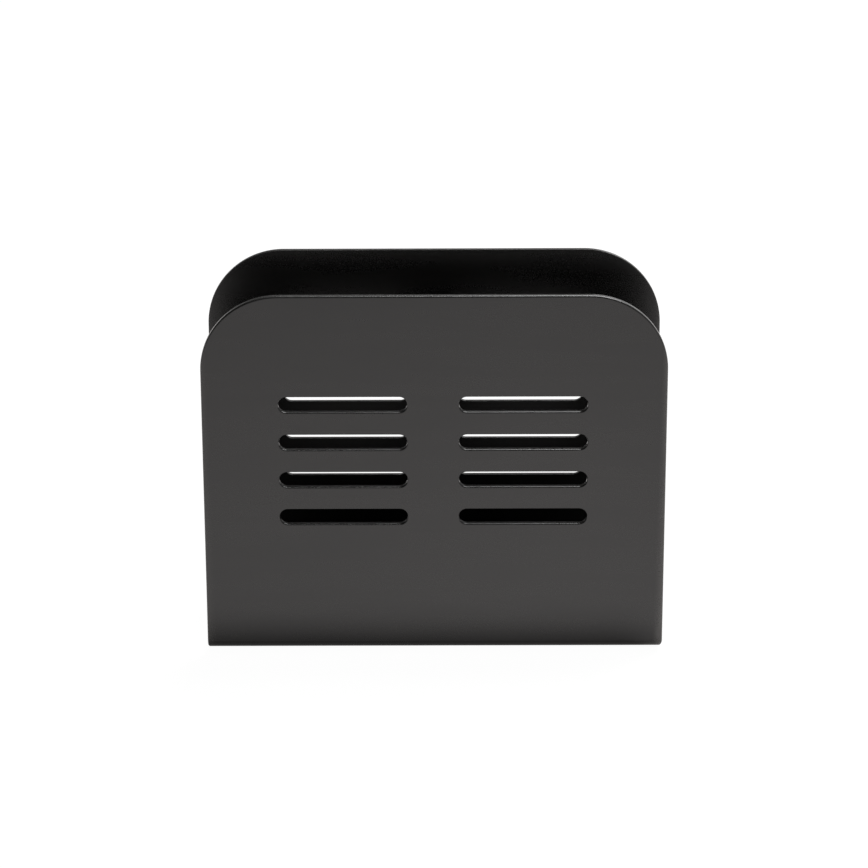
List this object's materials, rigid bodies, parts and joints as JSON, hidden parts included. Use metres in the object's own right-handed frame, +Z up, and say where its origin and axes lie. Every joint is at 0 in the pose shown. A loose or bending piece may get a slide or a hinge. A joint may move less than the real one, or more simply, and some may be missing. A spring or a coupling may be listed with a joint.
{
  "type": "napkin dispenser",
  "caption": "Upright open-topped napkin holder folded from one slotted steel sheet, with low anti-slip feet.",
  "frame": {"origin": "centre of the footprint on the table plane, at the bottom of the feet", "axes": "+X along the width, +Y from the front panel to the rear panel, +Z up"},
  "size_m": [0.1528, 0.051, 0.128],
  "materials": {
    "black_coat": "satin black powder coat, fine orange peel",
    "foot_rubber": "matt moulded polyurethane rubber",
    "foot_adhesive": "clear acrylic adhesive film, slightly cloudy"
  },
  "bodies": {
    "root": {"folded_sheet": "black_coat", "foot_front_left": "foot_rubber", "foot_front_right": "foot_rubber", "foot_rear_left": "foot_rubber", "foot_rear_right": "foot_rubber", "adhesive_front_left": "foot_adhesive", "adhesive_front_right": "foot_adhesive", "adhesive_rear_left": "foot_adhesive", "adhesive_rear_right": "foot_adhesive"}
  },
  "joints": []
}
